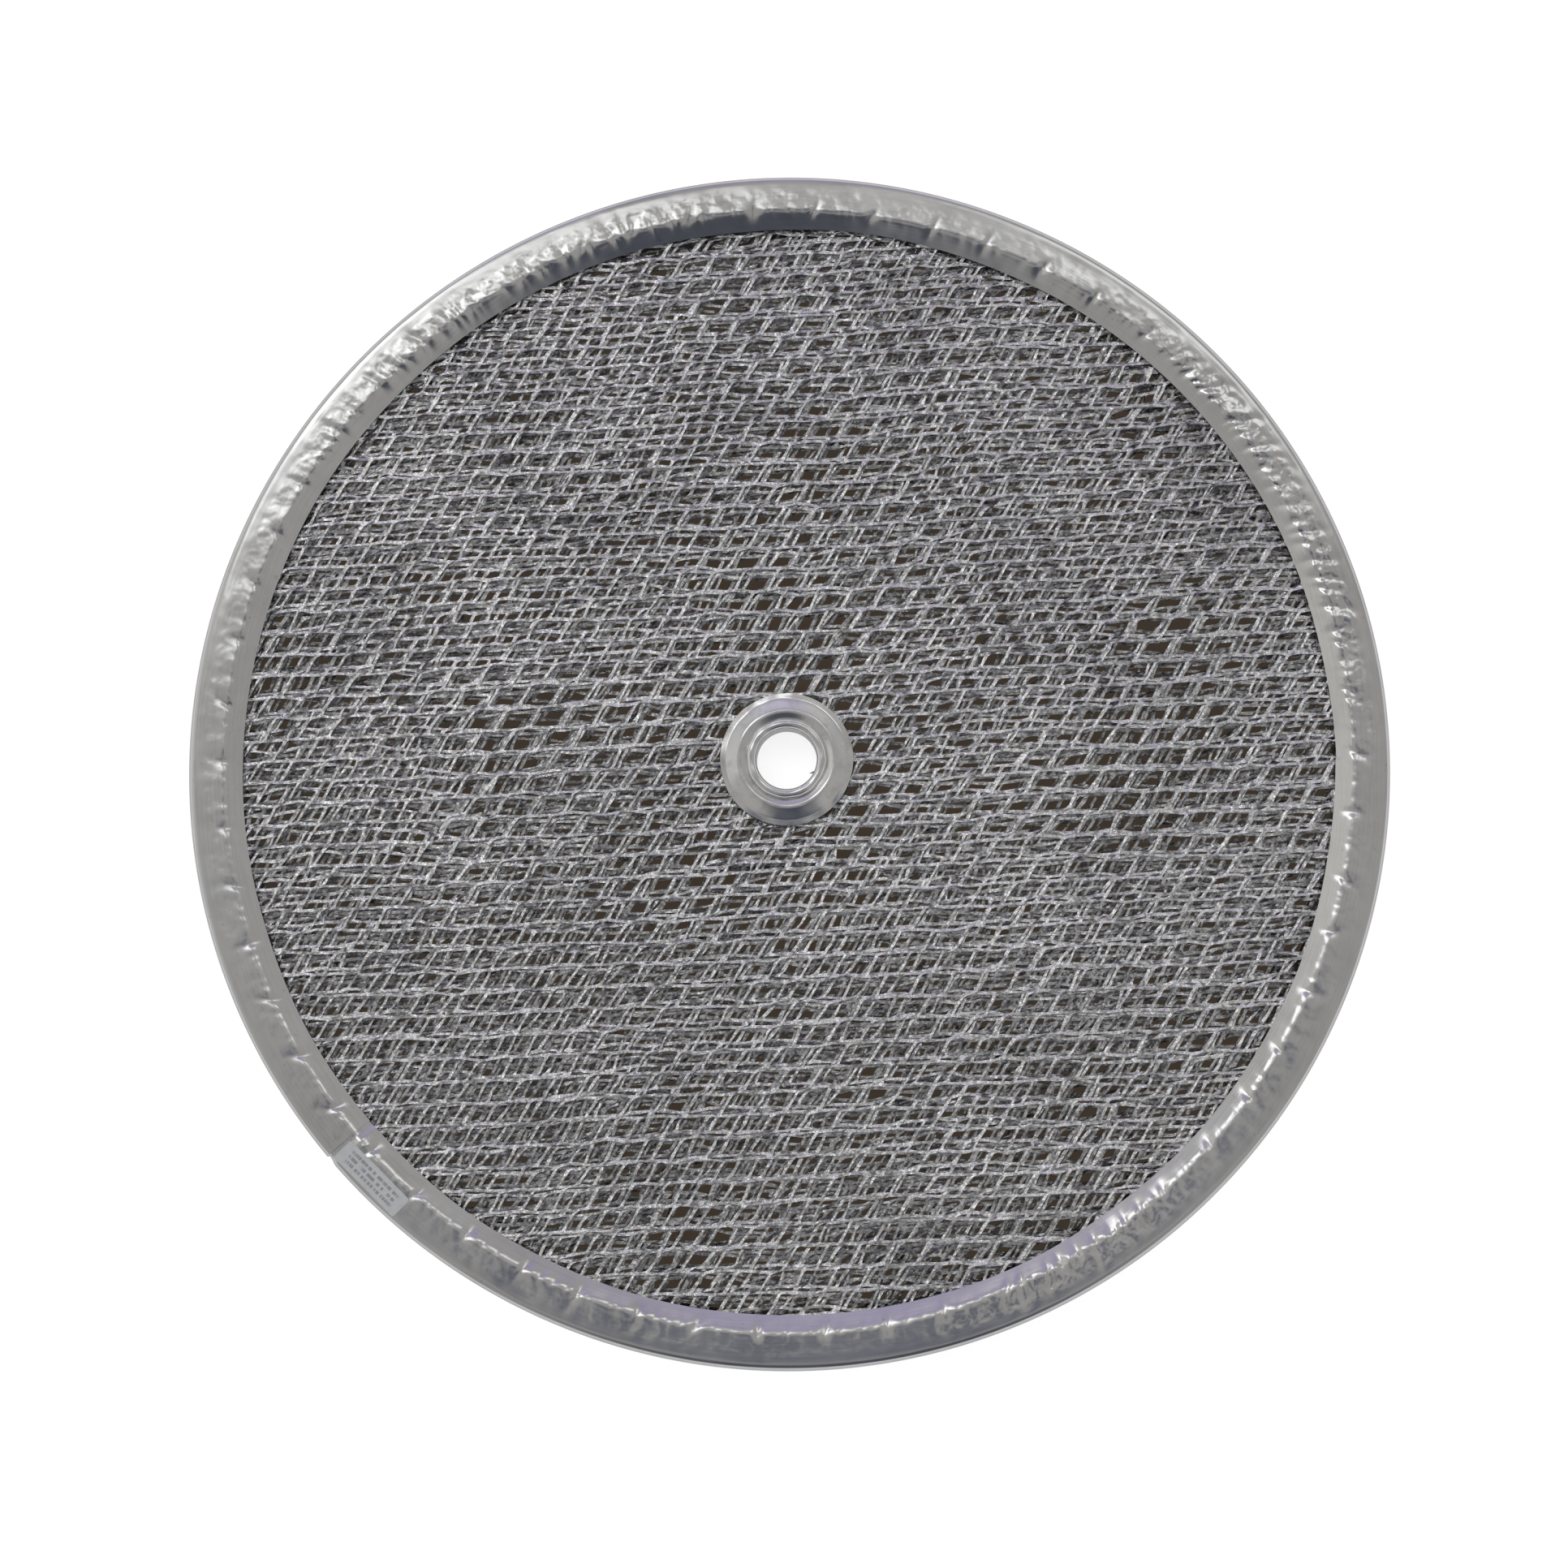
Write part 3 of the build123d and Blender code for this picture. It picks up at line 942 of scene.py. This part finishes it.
def build_world():
    """Studio surroundings for light and reflections; plain white to the camera."""
    world = bpy.data.worlds.new("studio")
    bpy.context.scene.world = world
    world.use_nodes = True
    nt = world.node_tree
    nt.nodes.clear()
    coords = node(nt, "TexCoord").outputs["Generated"]
    colour = (0.33, 0.325, 0.315)
    for azimuth, zenith, full, outer, tone in STUDIO:
        dot = vector_calc(nt, "DOT_PRODUCT", coords, direction(azimuth, zenith))
        patch = smooth_range(nt, dot, low=0.0, high=1.0,
                             from_min=math.cos(math.radians(outer)),
                             from_max=math.cos(math.radians(full)))
        colour = mix_colour(nt, patch, colour, tone)
    # pale all round towards the horizon, like the sweep of a light tent
    height = node(nt, "SeparateXYZ", {0: coords}).outputs[2]
    horizon = smooth_range(nt, height, low=0.0, high=1.0,
                           from_min=math.cos(math.radians(60)),
                           from_max=math.cos(math.radians(82)))
    colour = mix_colour(nt, horizon, colour, (0.72, 0.72, 0.74))
    studio = node(nt, "Background", {0: colour})
    seen = node(nt, "Background", {0: (1.0, 1.0, 1.0, 1)})
    camera_ray = node(nt, "LightPath").outputs["Is Camera Ray"]
    mix = node(nt, "MixShader", {0: camera_ray, 1: studio.outputs[0],
                                 2: seen.outputs[0]})
    node(nt, "OutputWorld", {0: mix.outputs[0]})


def area_light(name, azimuth, zenith, size, power, tall=None):
    """A disc, or a size by tall rectangle, that faces the origin."""
    data = bpy.data.lights.new(name, "AREA")
    data.shape = "RECTANGLE" if tall else "DISK"
    data.size = size
    if tall:
        data.size_y = tall
    data.energy = power
    data.color = LIGHT_COLOUR
    obj = bpy.data.objects.new(name, data)
    towards = direction(azimuth, zenith)
    obj.location = towards * LIGHT_DISTANCE
    obj.rotation_mode = "QUATERNION"
    obj.rotation_quaternion = towards.to_track_quat("Z", "Y")
    bpy.context.scene.collection.objects.link(obj)


# ------------------------------------------------------------------- camera
def build_camera(tilt, swing, distance, target):
    """A camera tilt degrees off the vertical, swung from -Y towards +X."""
    data = bpy.data.cameras.new("camera")
    camera = bpy.data.objects.new("camera", data)
    bpy.context.scene.collection.objects.link(camera)
    data.sensor_width = 36.0
    data.lens = 60.657
    data.clip_start, data.clip_end = 0.01, 50
    data.shift_x, data.shift_y = -0.00184, -0.01486
    rise, turn = math.radians(90 - tilt), math.radians(swing)
    back = Vector((math.sin(turn) * math.cos(rise),
                   -math.cos(turn) * math.cos(rise), math.sin(rise)))
    camera.location = Vector(target) + back * distance
    # roll the camera so that +Y points up in the picture
    forward = -back
    right = forward.cross(Vector((0, 1, 0))).normalized()
    up = right.cross(forward).normalized()
    camera.rotation_mode = "QUATERNION"
    camera.rotation_quaternion = Matrix((right, up, back)).transposed().to_quaternion()
    bpy.context.scene.camera = camera


build_floor()
build_world()
area_light("key", azimuth=113, zenith=20, size=0.34, power=0.22)
area_light("box", azimuth=132, zenith=37, size=0.40, power=1.15, tall=0.66)
area_light("flank", azimuth=60, zenith=31, size=0.46, power=0.38)

view = bpy.context.scene.view_settings
view.view_transform = "Standard"
view.look = "None"
build_camera(tilt=6.70, swing=11.12, distance=0.590, target=(0, 0, 0.00475))
